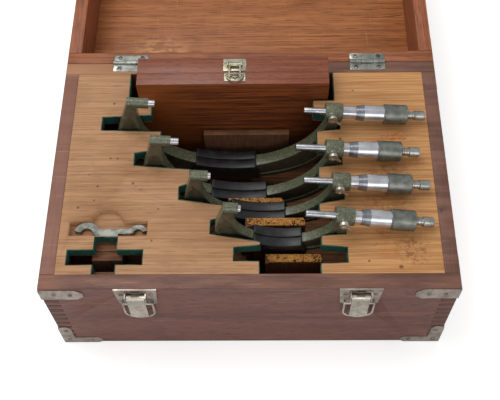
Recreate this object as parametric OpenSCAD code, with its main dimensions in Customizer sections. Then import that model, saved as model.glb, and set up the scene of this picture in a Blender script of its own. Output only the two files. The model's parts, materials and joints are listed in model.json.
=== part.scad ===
// Wooden case for a set of outside micrometers, open with the lid laid flat behind the base.
// Origin on the floor under the hinge line, X along the hinge, -Y to the latches, +Z up.

/* [Case] */
// Outside width of the case
case_w = 360; // [356:1:420]
// Outside depth of the case from the latch face to the hinge face
case_d = 242; // [240:1:290]
// Height of the base boards
base_h = 124; // [122:1:150]
// Height of the lid rails
lid_h = 58; // [57:1:80]
// Thickness of the base boards and lid rails
board_t = 13; // [11:0.5:13.5]
// Thickness of the front boards of case and lid
front_t = 13.6; // [12:0.1:15]
// Thickness of the base panel
bottom_t = 6; // [4:0.5:8]
// Thickness of the lid panel
lid_panel_t = 8; // [5:0.5:8.5]
// Fingers of a base corner joint
base_fingers = 25; // [11:2:31]
// Fingers of a lid corner joint
lid_fingers = 11; // [5:2:15]
// Gap between the closed rims
rim_gap = 0.4; // [0.3:0.1:1]
// Gap between the two hinge faces with the lid laid flat
back_gap = 0.4; // [0.3:0.1:1]

/* [Deck] */
// Thickness of the deck boards
deck_t = 12; // [10:0.5:14]
// Drop of the deck below the rim
deck_drop = 0.6; // [0.2:0.1:2]
// Thickness of the felt on the cut edges
felt_t = 0.8; // [0.4:0.1:1]
// Height of the felt strips
felt_h = 10; // [6:0.5:12]
// Depth of the spanner pocket and its finger hole
pocket_depth = 6.5; // [5:0.5:8]
// Length of the spanner pocket
pocket_l = 70; // [68:1:74]
// Width of the spanner pocket
pocket_w = 15.3; // [14:0.1:17]
// Radius of the finger hole
finger_r = 13.8; // [12:0.1:15]
// Length of the slot for the smallest micrometer
small_slot_l = 67; // [60:1:70]
// Width of the slot for the smallest micrometer
small_slot_w = 15.4; // [12:0.1:16]
// Width of the cross notches in that slot
small_notch_w = 21; // [18:0.5:24]
// Width of the deck bearers
bearer_w = 8; // [6:0.5:9]
// Height of the deck bearers
bearer_h = 14; // [10:0.5:20]

/* [Micrometers] */
// Screw travel of each spindle
travel = 25; // [20:1:25]
// Spindle and anvil radius
spindle_r = 3.175; // [2.5:0.025:3.5]
// Radius of the graduated sleeve
sleeve_r = 5.9; // [5.4:0.1:6.3]
// Radius of the thimble body
thimble_r = 7.7; // [7.3:0.1:8.2]
// Radius of the knurled grip of the thimble
knurl_r = 9.2; // [9:0.05:9.6]
// Length of the thimble bevel
bevel_l = 7.2; // [4:0.1:9]
// Length of the plain thimble behind the bevel
plain_l = 18.5; // [15:0.1:22]
// Length of the knurled grip
knurl_l = 21.8; // [18:0.1:24]
// Radius of the ratchet knob
ratchet_r = 4.5; // [4:0.1:5]
// Length of the ratchet neck
neck_l = 6.9; // [5:0.1:9]
// Length of the ratchet knob
knob_l = 9.8; // [8:0.1:10]
// Radius of the frame boss that carries the spindle
boss_r = 8; // [7.6:0.1:8.6]
// Length of that boss
boss_l = 16; // [14:0.1:18]
// Half thickness of the insulating covers of each micrometer
cover_half = 10; // [8.5:0.1:10.2]
// Depth of the sunk panels in the frame faces
recess_depth = 1.4; // [0.6:0.1:2]
// Radius of the spindle lock nut
lock_r = 4.3; // [3.8:0.1:4.8]
// Length of the spindle lock lever from its axis
lock_lever_l = 10.6; // [8:0.1:11]

/* [Standards box] */
// Width of the box of setting standards
std_w = 181; // [150:1:184]
// Thickness of that box
std_t = 31.4; // [28:0.2:31.6]
// Height of that box
std_h = 130; // [128:1:135]
// Height of the box top above the rim
std_proud = 24; // [15:1:30]
// Thickness of its front half
std_front_t = 13.4; // [12:0.2:15]
// Wall thickness of the box
std_wall = 6; // [4:0.5:8]
// Radius of a setting standard
standard_r = 4; // [3:0.5:4.5]

/* [Latches] */
// Width of a latch plate
plate_w = 37; // [34:1:40]
// Height of a latch plate
plate_h = 30; // [29:1:34]
// Thickness of the latch plates and catch plates
plate_t = 1.6; // [1:0.1:2]
// Width of a latch lever
lever_w = 15.6; // [14:0.1:17]
// Length of a latch lever below its axle
lever_l = 38; // [34:1:42]
// Radius of the bail wire
wire_r = 1.1; // [0.9:0.05:1.3]
// Half width of a bail
bail_half = 12.9; // [12.5:0.1:14]
// Length of a bail from its pivot to the middle of its cross wire
bail_l = 27.5; // [27:0.5:28]

/* [Brackets and hinges] */
// Thickness of the corner brackets and straps
bracket_t = 0.8; // [0.6:0.1:1]
// Length of a bracket arm
bracket_l = 38; // [30:1:44]
// Width of a bracket arm
bracket_w = 12; // [10:0.5:14]
// Height of the rim straps
strap_h = 18; // [12:1:20]
// Width of a hinge
hinge_w = 34; // [28:1:40]
// Width of a hinge leaf from the pin line
leaf_w = 10; // [8:0.5:11]
// Thickness of a hinge leaf
leaf_t = 1.5; // [1.2:0.1:2]
// Radius of the hinge knuckles
knuckle_r = 2.4; // [2.2:0.1:2.8]
// Radius of the hinge pin
pin_r = 1.2; // [1:0.05:1.3]
// Radius of a screw head
head_r = 2.2; // [1.8:0.1:2.4]

/* [Hidden] */

$fn = 48;
e = 0.01;

// Colours of the finishes
wood_red = [0.42, 0.27, 0.22];
wood_deck = [0.74, 0.54, 0.36];
wood_lid = [0.66, 0.43, 0.25];
wood_box = [0.5, 0.26, 0.15];
cork = [0.8, 0.56, 0.24];
felt_green = [0.1, 0.36, 0.25];
nickel = [0.62, 0.59, 0.56];
enamel = [0.36, 0.37, 0.3];
black_plastic = [0.1, 0.1, 0.11];
steel = [0.78, 0.78, 0.8];

// Levels and faces of the case
foot_t = bracket_t;
rim_z = foot_t + base_h;
floor_z = foot_t + bottom_t;
deck_z = rim_z - deck_drop;
hinge_z = rim_z + rim_gap / 2;
half_w = case_w / 2;
in_w = half_w - board_t;
face_y = -case_d;
back_y = -back_gap / 2;
in_front = face_y + front_t;
in_back = back_y - board_t;

// Rows of slots counted from the hinge: four micrometers, then the empty slot of the next size.
// Each list has one value a row. The rows share out the depth inside, from the back wall.
range_min = [125, 100, 75, 50];
rows_in = 215.2;
row_y = [for (v = [58.5, 99.4, 134.1, 171.5, 196.3]) in_back - v * (in_back - in_front) / rows_in];
frame_t = [12.5, 10.5, 9, 9, 9];
slot_l = [-139.9, -106.8, -64, -34.7, -13.8];
slot_r = [85.5, 85.5, 85.8, 85.5, 86];
tip_l = [-94, -83.5, -54.6, -22.4, 9.4, 8.6];
tip_r = [61, 63.4, 63.8, 63.2, 63.8, 62.6];
// Slot edges clear of the frame faces, at the slot end and at the tab tip, left then right
front_l = [[1.7, 3.6], [1, 5.8], [3.6, 9.5], [0.9, 8.6], [2.5, 2.7]];
back_l = [[1.7, 3.8], [2.9, 6.8], [1.6, 5.5], [4.6, 8], [2.5, 4.7]];
front_r = [[2.2, 4.3], [1.6, 4], [3.9, 8.4], [1.7, 3.1], [4.3, 5.1]];
back_r = [[2.5, 4.5], [2.8, 7.8], [2, 7.5], [6.5, 13], [2.1, 4.5]];

// Place and tilt of each micrometer, by its anvil face; the thimble clears the deck wound right out
mic_x = [-86, -62.5, -33.2, -6.5];
mic_tilt = [5.1, 5.4, 5.4, 9];
mic_gap = [137.2, 105.2, 82, 56];
rest_gap = 0.3;
thimble_off = 48.2;
boss_clear = 0.3;
thimble_l = bevel_l + plain_l + knurl_l;
boss_end = [for (i = [0:3]) range_min[i] + thimble_off - boss_clear];
boss_start = [for (i = [0:3]) boss_end[i] - boss_l];
knurl_end_open = [for (i = [0:3]) range_min[i] + travel + thimble_off + thimble_l];
mic_z = [for (i = [0:3]) deck_z + rest_gap + knurl_r * cos(mic_tilt[i])
  + knurl_end_open[i] * sin(mic_tilt[i])];

// Bow of each frame: centre of its curves, half widths and depth of the throat, depth of metal
bow_x = [72.3, 60.5, 50.1, 39.8];
throat_z = -4;
throat_l = [89.5, 75.4, 58, 45];
throat_r = [88, 74.5, 57, 45.3];
throat_d = [88, 80, 57.5, 44.5];
bow_h = [23, 21, 18, 17];
outer_l = [-35.7, -32, -21.9, -18.2];
outer_z = [-45, -42, -33, -30];
anvil_boss_l = [-25.6, -25, -17.6, -15.1];
anvil_l = [6, 7.2, 2.6, 2.6];
anvil_r = 4.8;
taper_h = 17;
edge_rim = [5, 5, 4.4, 4];
left_rim = 2.4;
arch_z = -25;
arch_h = 9;
cover_l = [39.3, 32.3, 21.3, 17.2];
cover_y = [for (i = [0:3]) cover_half - (i == 3 ? 0.6 : 0)];
cover_r = [99.8, 86.5, 72.4, 61.2];
cover_lip = 2.2;
cover_seam = 0.8;
cover_fit = 0.1;

// Place of the standards box and its well, with room for the fingers at its ends
std_x = -15.5;
std_back = in_back - 0.3;
std_y0 = std_back - std_t;
well_room_l = 10.3;
well_room_r = 6.3;
well_room_front = 2.1;
box_well_l = std_x - std_w / 2 - well_room_l;
box_well_r = std_x + std_w / 2 + well_room_r;
box_well_front = std_y0 - well_room_front;

// Openings in the left front corner of the deck
pocket_x = 42.5 - in_w;
pocket_y = in_front + 44.8;
finger_x = pocket_x - 1.3;
finger_y = pocket_y + 6.8;
small_x = pocket_x - 0.7;
small_y = in_front + 16.4;

// Latch places and levels
latch_x = [-97, 95.5];
plate_top = -0.6;
axle_drop = 9;
axle_out = plate_t + 3;
axle_r = 1.1;
bail_drop = 23;
bail_out = plate_t + 2.2;
pivot_gap = 0.15;
hook_w = 8;
hinge_x = [-116.8, 115.2];

function se(c, p) = sign(c) * pow(abs(c), p);
// A point of the throat at angle a, from the right through the bottom to the left, moved out by g
function throat(i, a, g = 0) = let (w = a < 90 ? throat_r[i] : throat_l[i], p = a < 90 ? 0.98 : 0.88)
  [bow_x[i] + (w + g) * se(cos(a), p), throat_z - (throat_d[i] + g) * pow(abs(sin(a)), p)];
limb_inset = 2.7;
outer_r = [for (i = [0:3]) boss_end[i] - limb_inset];
function outer_c(i) = (outer_l[i] + outer_r[i]) / 2;
function outer_a(i) = (outer_r[i] - outer_l[i]) / 2;
function outer_b(i) = outer_z[i] - throat_z + throat_d[i] + bow_h[i];
function outer(i, a, g = 0) =
  [outer_c(i) + (outer_a(i) + g) * cos(a), outer_z[i] - (outer_b(i) + g) * sin(a)];
// Angle on the throat at a distance s along the spindle line, and on the outer edge
function throat_angle(i, s) = let (w = s > bow_x[i] ? throat_r[i] : throat_l[i],
  p = s > bow_x[i] ? 0.98 : 0.88, q = (s - bow_x[i]) / w) acos(sign(q) * pow(abs(q), 1 / p));
function arc_steps(a0, a1, n) = [for (k = [0:n]) a0 + (a1 - a0) * k / n];
function back_to_front(v) = [for (k = [len(v) - 1:-1:0]) v[k]];

module at_mic(i)
  translate([mic_x[i], row_y[i], mic_z[i]]) rotate([0, mic_tilt[i], 0]) children();
// A plate in the plane of the spindle, y0 to y1 across
module mic_plate(points, y0, y1)
  translate([0, y1, 0]) rotate([90, 0, 0]) linear_extrude(y1 - y0) polygon(points);
module along_x(x0, x1, r0, r1)
  translate([x0, 0, 0]) rotate([0, 90, 0]) cylinder(h = x1 - x0, r1 = r0, r2 = r1);
module slab(x0, x1, y0, y1, z0, z1)
  translate([x0, y0, z0]) cube([x1 - x0, y1 - y0, z1 - z0]);
// The lid is drawn closed and laid open by this turn about the hinge pin
module laid_open()
  translate([0, 0, hinge_z]) rotate([180, 0, 0]) translate([0, 0, -hinge_z]) children();

// Screws: place, then the side that the head faces: 0 front, 1 right, -1 left, 2 up
screw_l = 7;
head_h = 0.8;
shank_r = 1.1;
screw_fit = 0.1;
module face_side(s)
  if (s == 0) rotate([90, 0, 0]) children();
  else if (s == 2) children();
  else rotate([0, 90 * s, 0]) children();
module screw(p)
  translate([p[0], p[1], p[2]]) face_side(p[3]) {
    difference() {
      cylinder(h = head_h, r1 = head_r, r2 = head_r * 0.75);
      translate([-head_r, -0.25, head_h * 0.4]) cube([2 * head_r, 0.5, head_h]);
    }
    translate([0, 0, -screw_l]) cylinder(h = screw_l + e, r = shank_r);
  }
module screw_bore(p)
  translate([p[0], p[1], p[2]]) face_side(p[3])
    translate([0, 0, -screw_l - 0.2]) cylinder(h = screw_l + 3, r = shank_r + screw_fit);
// A head let into a hinge leaf
module screw_sink(p) {
  screw_bore(p);
  translate([p[0], p[1], p[2]]) face_side(p[3]) translate([0, 0, -e])
    cylinder(h = head_h + 1, r1 = head_r + screw_fit, r2 = head_r + 2 * screw_fit);
}

plate_screw_x = plate_w / 2 - 5.5;
plate_screw_z = 9;
strap_z = 3;
arm_screw = bracket_l - 9;
latch_screws = [for (x = latch_x, s = [-1, 1])
  [x + s * plate_screw_x, face_y - plate_t, rim_z + plate_top - plate_screw_z, 0]];
strap_screws = [for (s = [-1, 1], d = [12, 26])
  [s * (half_w - d), face_y - bracket_t, rim_z - strap_z - strap_h / 2, 0]];
strap_side_screws = [for (s = [-1, 1], y = [face_y + 20, back_y - 20])
  [s * (half_w + bracket_t), y, rim_z - strap_z - strap_h / 2, s]];
foot_screws = [for (s = [-1, 1], d = [[6, arm_screw], [6, 7], [arm_screw, 6]])
  [s * (half_w - d[0]), face_y - bracket_t, foot_t + d[1], 0]];
foot_side_screws = [for (s = [-1, 1], y = [face_y + 6, back_y - 6])
  [s * (half_w + bracket_t), y, foot_t + arm_screw, s]];
leaf_screws = [for (x = hinge_x, s = [-1, 1])
  [x + s * (hinge_w / 2 - 6), -leaf_w / 2 - 1.6, rim_z - head_h - 0.1, 2]];
case_screws = concat(latch_screws, strap_screws, strap_side_screws, foot_screws, foot_side_screws);

lid_z0 = rim_z + rim_gap;
lid_z1 = lid_z0 + lid_h;
catch_top = 21;
catch_screws = [for (x = latch_x, s = [-1, 1])
  [x + s * (hook_w / 2 + 4), face_y - plate_t, lid_z0 + catch_top - 7, 0]];
lid_strap_screws = [for (s = [-1, 1], d = [12, 26])
  [s * (half_w - d), face_y - bracket_t, lid_z0 + strap_z + strap_h / 2, 0]];
lid_side_screws = [for (s = [-1, 1], y = [face_y + 20, back_y - 20])
  [s * (half_w + bracket_t), y, lid_z0 + strap_z + strap_h / 2, s]];
lid_top_screws = [for (s = [-1, 1], y = [face_y + 6, back_y - 6])
  [s * (half_w + bracket_t), y, lid_z1 - arm_screw, s]];
lid_leaf_screws = [for (x = hinge_x, s = [-1, 1])
  [x + s * (hinge_w / 2 - 6), -leaf_w / 2 - 1.6, lid_z0 - head_h - 0.1, 2]];
lid_face_screws = concat(catch_screws, lid_strap_screws, lid_side_screws, lid_top_screws);

// Boards with finger joints: the front and back boards keep the even fingers, the sides the odd ones
module fingers(z0, h, n, first)
  for (k = [first:2:n - 1])
    for (s = [-1, 1], y = [face_y, in_back])
      slab(s > 0 ? in_w : -half_w, s > 0 ? half_w : -in_w, y, y + thick(y), z0 + k * h / n,
        z0 + (k + 1) * h / n);
function thick(y) = y < in_back ? front_t : board_t;
module long_board(y, z0, h, n)
  difference() {
    slab(-half_w, half_w, y, y + thick(y), z0, z0 + h);
    fingers(z0, h, n, 1);
  }
module side_board(s, z0, h, n)
  difference() {
    slab(s > 0 ? in_w : -half_w, s > 0 ? half_w : -in_w, face_y, back_y, z0, z0 + h);
    fingers(z0, h, n, 0);
  }
// Room for a hinge leaf let into the rim and for the knuckle on the edge
module leaf_room(z, up)
  for (x = hinge_x) {
    slab(x - hinge_w / 2, x + hinge_w / 2, -leaf_w, 1, up ? z - 1 : z - leaf_t, up ? z + leaf_t : z + 1);
    translate([0, 0, hinge_z]) along_x_at(x - hinge_w / 2, x + hinge_w / 2, knuckle_r + 0.3);
  }
module along_x_at(x0, x1, r) along_x(x0, x1, r, r);

module front_board()
  color(wood_red) difference() {
    long_board(face_y, foot_t, base_h, base_fingers);
    for (p = case_screws) screw_bore(p);
  }
module back_board()
  color(wood_red) difference() {
    long_board(in_back, foot_t, base_h, base_fingers);
    leaf_room(rim_z, false);
    for (p = concat(leaf_screws, strap_side_screws, foot_side_screws)) screw_bore(p);
  }
module left_board()
  color(wood_red) difference() {
    side_board(-1, foot_t, base_h, base_fingers);
    for (p = case_screws) screw_bore(p);
  }
module right_board()
  color(wood_red) difference() {
    side_board(1, foot_t, base_h, base_fingers);
    for (p = case_screws) screw_bore(p);
  }
module base_panel()
  color(wood_deck) slab(-in_w, in_w, in_front, in_back, foot_t, floor_z);

// Outline of the open middle of the deck, front to back along one side; g draws it in
function row_path(i, s, g) = let (
    f = s < 0 ? front_l[i] : front_r[i],
    b = s < 0 ? back_l[i] : back_r[i],
    end = (s < 0 ? slot_l[i] : slot_r[i]) - s * g,
    front_tip = (s < 0 ? tip_l[i + 1] : tip_r[i + 1]) - s * g,
    back_tip = (s < 0 ? tip_l[i] : tip_r[i]) - s * g,
    half = frame_t[i] / 2)
  [[front_tip, row_y[i] - half - f[1] + g], [end, row_y[i] - half - f[0] + g],
   [end, row_y[i] + half + b[0] - g], [back_tip, row_y[i] + half + b[1] - g]];
function side_path(s, g) = let (well = (s < 0 ? box_well_l : box_well_r) - s * g)
  concat([[(s < 0 ? tip_l[5] : tip_r[5]) - s * g, in_front - 1]],
    [for (i = [4:-1:0]) each row_path(i, s, g)],
    [[(s < 0 ? tip_l[0] : tip_r[0]) - s * g, box_well_front + g],
     [well, box_well_front + g], [well, in_back + 1]]);
module middle_opening(g, z0, z1)
  translate([0, 0, z0]) linear_extrude(z1 - z0)
    polygon(concat(side_path(-1, g), back_to_front(side_path(1, g))));
// Cross-shaped slot of the smallest micrometer
notch_back = pocket_y - pocket_w / 2 - 0.5;
notch_front = in_front - 1;
module small_slot(g, z0, z1) {
  slab(small_x - small_slot_l / 2 + g, small_x + small_slot_l / 2 - g,
    small_y - small_slot_w / 2 + g, small_y + small_slot_w / 2 - g, z0, z1);
  slab(small_x - small_notch_w / 2 + g, small_x + small_notch_w / 2 - g,
    notch_front, notch_back - g, z0, z1);
}
module deck_boards()
  color(wood_deck) difference() {
    slab(-in_w, in_w, in_front, in_back, deck_z - deck_t, deck_z);
    middle_opening(0, deck_z - deck_t - 1, deck_z + 1);
    small_slot(0, deck_z - deck_t - 1, deck_z + 1);
    slab(pocket_x - pocket_l / 2, pocket_x + pocket_l / 2, pocket_y - pocket_w / 2,
      pocket_y + pocket_w / 2, deck_z - pocket_depth, deck_z + 1);
    translate([finger_x, finger_y, deck_z - pocket_depth]) cylinder(h = pocket_depth + 1, r = finger_r);
    for (p = leaf_screws) screw_bore(p);
  }
module felt_lining()
  color(felt_green) intersection() {
    union() {
      difference() {
        middle_opening(0, deck_z - felt_h, deck_z - e);
        middle_opening(felt_t, deck_z - felt_h - 1, deck_z + 1);
      }
      difference() {
        small_slot(0, deck_z - felt_h, deck_z - e);
        small_slot(felt_t, deck_z - felt_h - 1, deck_z + 1);
      }
    }
    slab(-in_w, in_w, in_front, in_back, deck_z - deck_t, deck_z + 1);
  }

// Lowest point of a tilted frame, for the block that carries it
function low_z(i) = mic_z[i] - outer_c(i) * sin(mic_tilt[i]) + outer_z[i] * cos(mic_tilt[i])
  - sqrt(pow(outer_a(i) * sin(mic_tilt[i]), 2) + pow(outer_b(i) * cos(mic_tilt[i]), 2));
function low_x(i) = mic_x[i] + outer_c(i) * cos(mic_tilt[i]) + outer_z[i] * sin(mic_tilt[i]);
block_w = 46;
// Partition blocks between the rows: left, right, front, back and depth of the top below the rim
partition_t = 8;
block_gap = 0.7;
block_t = 6.4;
function mid_row(i, shift) = (row_y[i] + row_y[i + 1] - partition_t) / 2 + shift;
function partition(x0, x1, y0, t, drop, cork) = [x0, x1, y0, y0 + t, drop, cork];
partitions = [partition(-47, 39, std_y0 - block_gap - block_t, block_t, 50, 0),
  partition(-21, 32, mid_row(1, -2), partition_t, 45, 3),
  partition(-4, 51, mid_row(2, 1.4), partition_t, 25, 3),
  partition(14, 65, mid_row(3, -3.9), partition_t, 26, 3)];
// Rest of the smallest micrometer behind its slot, a stepped ramp
ramp_back = notch_back;
ramp_l = 17;
ramp_step = 1.5;
module wood_supports()
  color(wood_deck) {
    slab(std_x - std_w / 2 + 6, std_x + std_w / 2 - 6, std_back - std_t + 3, std_back - 3, floor_z,
      rim_z + std_proud - std_h - rest_gap);
    for (i = [0:3])
      slab(low_x(i) - block_w / 2, low_x(i) + block_w / 2, row_y[i] - frame_t[i] / 2,
        row_y[i] + frame_t[i] / 2, floor_z, low_z(i) - rest_gap);
    for (p = partitions) slab(p[0], p[1], p[2], p[3], floor_z, rim_z - p[4] - p[5]);
    for (s = [-1, 1])
      slab(s > 0 ? in_w - bearer_w : -in_w, s > 0 ? in_w : -in_w + bearer_w, in_front + bearer_w,
        in_back, deck_z - deck_t - bearer_h, deck_z - deck_t);
    slab(-in_w, tip_l[5] - 2, in_front, in_front + bearer_w, deck_z - deck_t - bearer_h, deck_z - deck_t);
    slab(tip_r[5] + 2, in_w, in_front, in_front + bearer_w, deck_z - deck_t - bearer_h, deck_z - deck_t);
    slab(small_x - small_notch_w / 2 - 3, small_x + small_notch_w / 2 + 3, ramp_back - ramp_l,
      ramp_back - ramp_l / 2, floor_z, deck_z - deck_t - ramp_step);
    slab(small_x - small_notch_w / 2 - 3, small_x + small_notch_w / 2 + 3, ramp_back - ramp_l / 2,
      ramp_back, floor_z, deck_z - deck_t);
  }
module cork_pads()
  color(cork) for (p = partitions)
    if (p[5] > 0) translate([0, 0, rim_z - p[4] - p[5]]) linear_extrude(p[5])
      polygon([[p[0] + 4, p[2]], [p[1] - 1, p[2]], [p[1], p[2] + 2], [p[1] - 1.5, p[3]], [p[0], p[3]]]);

// Brackets: flat arms with a blunt point at the free end
module arm(l, w)
  polygon([[0, 0], [l - w * 0.35, 0], [l, w * 0.3], [l, w * 0.7], [l - w * 0.35, w], [0, w]]);
module ell() {
  arm(bracket_l, bracket_w);
  translate([bracket_w, 0]) rotate(90) arm(bracket_l, bracket_w);
}
// A corner bracket at the origin, legs along +X, +Y and +Z, lying outside those planes
module corner_bracket(with_y_face)
  union() {
    translate([-bracket_t, 0, -bracket_t]) rotate([90, 0, 0]) linear_extrude(bracket_t) ell();
    if (with_y_face) translate([0, -bracket_t, -bracket_t])
      rotate([90, 0, 90]) translate([0, 0, -bracket_t]) linear_extrude(bracket_t) ell();
    translate([-bracket_t, -bracket_t, -bracket_t]) linear_extrude(bracket_t) ell();
  }
module strap_front()
  translate([-bracket_t, 0, 0]) rotate([90, 0, 0]) linear_extrude(bracket_t) arm(bracket_l, strap_h);
module strap_side()
  rotate([90, 0, 90]) translate([0, 0, -bracket_t]) linear_extrude(bracket_t) arm(bracket_l, strap_h);
// The four corners of a frame of boards whose closed face is at z0, dir 1 up or -1 down
module bracket_set(z0, rim, dir) {
  for (m = [0, 1]) mirror([m, 0, 0]) {
    translate([-half_w, face_y, z0]) scale_z(dir) corner_bracket(true);
    translate([-half_w, back_y, z0]) scale_z(dir) back_bracket();
    translate([-half_w, face_y, rim]) scale_z(-dir) {
      translate([0, 0, strap_z]) union() {
        strap_front();
        strap_side();
      }
    }
    translate([-half_w, back_y, rim]) scale_z(-dir) translate([0, 0, strap_z])
      mirror([0, 1, 0]) strap_side();
  }
}
module scale_z(d) mirror([0, 0, d < 0 ? 1 : 0]) children();
// The back corners carry no leaf on the hinge face, which lies against the other half
module back_bracket()
  mirror([0, 1, 0]) union() {
    rotate([90, 0, 90]) translate([0, -bracket_t, -bracket_t]) linear_extrude(bracket_t) ell();
    translate([-bracket_t, 0, -bracket_t]) linear_extrude(bracket_t) ell();
  }
module base_corner_brackets()
  color(nickel) difference() {
    bracket_set(foot_t, rim_z, 1);
    for (p = case_screws) screw_bore(p);
  }
module base_screws()
  color(nickel) for (p = concat(case_screws, leaf_screws)) screw(p);

// Hinges: the base carries the outer knuckles and the pin, the lid the middle knuckle
knuckle_gap = 0.3;
mid_l = hinge_w / 3;
module knuckle(x0, x1) translate([0, 0, hinge_z]) along_x_at(x0, x1, knuckle_r);
module leaf(x, z0) slab(x - hinge_w / 2, x + hinge_w / 2, -leaf_w, 0, z0, z0 + leaf_t);
module base_hinge_leaves()
  color(nickel) for (x = hinge_x) {
    difference() {
      union() {
        leaf(x, rim_z - leaf_t);
        knuckle(x - hinge_w / 2, x - mid_l / 2);
        knuckle(x + mid_l / 2, x + hinge_w / 2);
      }
      translate([0, 0, hinge_z]) along_x_at(x - mid_l / 2 - knuckle_gap, x + mid_l / 2 + knuckle_gap,
        knuckle_r + knuckle_gap);
      for (p = leaf_screws) screw_sink(p);
    }
    translate([0, 0, hinge_z]) along_x_at(x - mid_l / 2 - knuckle_gap, x + mid_l / 2 + knuckle_gap, pin_r);
  }
module lid_hinge_leaves()
  laid_open() color(nickel) for (x = hinge_x)
    difference() {
      union() {
        leaf(x, lid_z0);
        knuckle(x - mid_l / 2, x + mid_l / 2);
      }
      for (s = [-1, 1]) translate([0, 0, hinge_z])
        along_x_at(x + s * (hinge_w + mid_l) / 4 - hinge_w / 6 - (s < 0 ? 1 : knuckle_gap),
          x + s * (hinge_w + mid_l) / 4 + hinge_w / 6 + (s < 0 ? knuckle_gap : 1),
          knuckle_r + knuckle_gap);
      translate([0, 0, hinge_z]) along_x_at(x - hinge_w, x + hinge_w, pin_r + pivot_gap);
      for (p = lid_leaf_screws) screw_sink_up(p);
    }
// Lid leaf screws point up into the rail, heads down
module screw_sink_up(p) translate([0, 0, 2 * lid_z0]) mirror([0, 0, 1]) screw_sink(p);
module screw_bore_up(p) translate([0, 0, 2 * lid_z0]) mirror([0, 0, 1]) screw_bore(p);
module screw_up(p) translate([0, 0, 2 * lid_z0]) mirror([0, 0, 1]) screw(p);

module lid_rail_cuts() {
  for (p = lid_face_screws) screw_bore(p);
  for (p = lid_leaf_screws) screw_bore_up(p);
  leaf_room(lid_z0, true);
}
module lid_front_rail()
  laid_open() color(wood_red) difference() {
    long_board(face_y, lid_z0, lid_h, lid_fingers);
    for (p = lid_face_screws) screw_bore(p);
  }
module lid_back_rail()
  laid_open() color(wood_red) difference() {
    long_board(in_back, lid_z0, lid_h, lid_fingers);
    lid_rail_cuts();
  }
module lid_left_rail()
  laid_open() color(wood_red) difference() {
    side_board(-1, lid_z0, lid_h, lid_fingers);
    for (p = lid_face_screws) screw_bore(p);
  }
module lid_right_rail()
  laid_open() color(wood_red) difference() {
    side_board(1, lid_z0, lid_h, lid_fingers);
    for (p = lid_face_screws) screw_bore(p);
  }
module lid_panel()
  laid_open() color(wood_lid) slab(-in_w, in_w, in_front, in_back, lid_z1 - lid_panel_t, lid_z1);
module lid_corner_brackets()
  laid_open() color(nickel) difference() {
    bracket_set(lid_z1, lid_z0, -1);
    for (p = lid_face_screws) screw_bore(p);
  }
module lid_screws()
  laid_open() color(nickel) {
    for (p = lid_face_screws) screw(p);
    for (p = lid_leaf_screws) screw_up(p);
  }
// Catch: a plate with a short hook that the bail drops over
hook_z = 0.8;
hook_t = 1.1;
hook_reach = bail_out + wire_r + 0.7;
module lid_catch_plates()
  laid_open() color(nickel) difference() {
    for (x = latch_x) {
      slab(x - hook_w / 2 - 7, x + hook_w / 2 + 7, face_y - plate_t, face_y, lid_z0 + 6, lid_z0 + catch_top);
      slab(x - hook_w / 2, x + hook_w / 2, face_y - plate_t, face_y, lid_z0 + hook_z, lid_z0 + 7);
      slab(x - hook_w / 2, x + hook_w / 2, face_y - hook_reach - hook_t, face_y, lid_z0 + hook_z,
        lid_z0 + hook_z + hook_t);
      slab(x - hook_w / 2, x + hook_w / 2, face_y - hook_reach - hook_t, face_y - hook_reach,
        lid_z0 + hook_z, lid_z0 + hook_z + 4);
    }
    for (p = catch_screws) screw_bore(p);
  }

// Latches: a plate with two ears and an axle, a lever that hangs from it and a bail on the lever
plate_taper = 1.8;
plate_corner = 3.5;
ear_t = 1.2;
tongue_t = 1.2;
tongue_r = lever_w / 2 + 0.2;
head_roll_r = axle_out - plate_t - 0.3;
axle_z = rim_z + plate_top - axle_drop;
bail_z = rim_z + plate_top - bail_drop;
axle_y = face_y - axle_out;
bail_y = face_y - bail_out;
module latch_plates()
  color(nickel) for (x = latch_x) difference() {
    union() {
      translate([x, face_y, rim_z + plate_top]) rotate([90, 0, 0]) linear_extrude(plate_t)
        polygon([[-plate_w / 2, 0], [plate_w / 2, 0], [plate_w / 2 - plate_taper, plate_corner - plate_h],
          [plate_w / 2 - plate_taper - plate_corner, -plate_h],
          [-plate_w / 2 + plate_taper + plate_corner, -plate_h],
          [-plate_w / 2 + plate_taper, plate_corner - plate_h]]);
      for (s = [-1, 1])
        slab(x + s * (lever_w / 2 + 0.4 + ear_t / 2) - ear_t / 2,
          x + s * (lever_w / 2 + 0.4 + ear_t / 2) + ear_t / 2,
          axle_y - 2.6, face_y - plate_t + e, axle_z - 5, axle_z + 5);
      translate([0, axle_y, axle_z])
        along_x_at(x - lever_w / 2 - 0.4 - ear_t / 2, x + lever_w / 2 + 0.4 + ear_t / 2, axle_r);
    }
    slab(x - 3.6, x + 3.6, face_y - plate_t - 1, face_y + 1, rim_z + plate_top - 6, rim_z + plate_top - 2);
    for (p = latch_screws) screw_bore(p);
  }
module latch_lever(x)
  color(nickel) difference() {
    union() {
      translate([0, axle_y, axle_z]) along_x_at(x - lever_w / 2, x + lever_w / 2, head_roll_r);
      translate([x, axle_y - axle_r - pivot_gap, axle_z]) rotate([90, 0, 0]) linear_extrude(tongue_t) union() {
        translate([-lever_w / 2, tongue_r - lever_l]) square([lever_w, lever_l - tongue_r]);
        translate([0, tongue_r - lever_l]) circle(r = tongue_r);
      }
      for (s = [-1, 1])
        slab(x + s * (lever_w / 2 - 1.7) - 0.7, x + s * (lever_w / 2 - 1.7) + 0.7,
          axle_y - axle_r - pivot_gap - e, face_y - plate_t - 0.3, bail_z - 3, axle_z);
    }
    slab(x - 3.6, x + 3.6, axle_y - 0.4, face_y, axle_z, axle_z + 2 * head_roll_r);
    translate([0, axle_y, axle_z]) along_x_at(x - lever_w, x + lever_w, axle_r + pivot_gap);
    translate([0, bail_y, bail_z]) along_x_at(x - lever_w, x + lever_w, wire_r + pivot_gap);
  }
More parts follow.
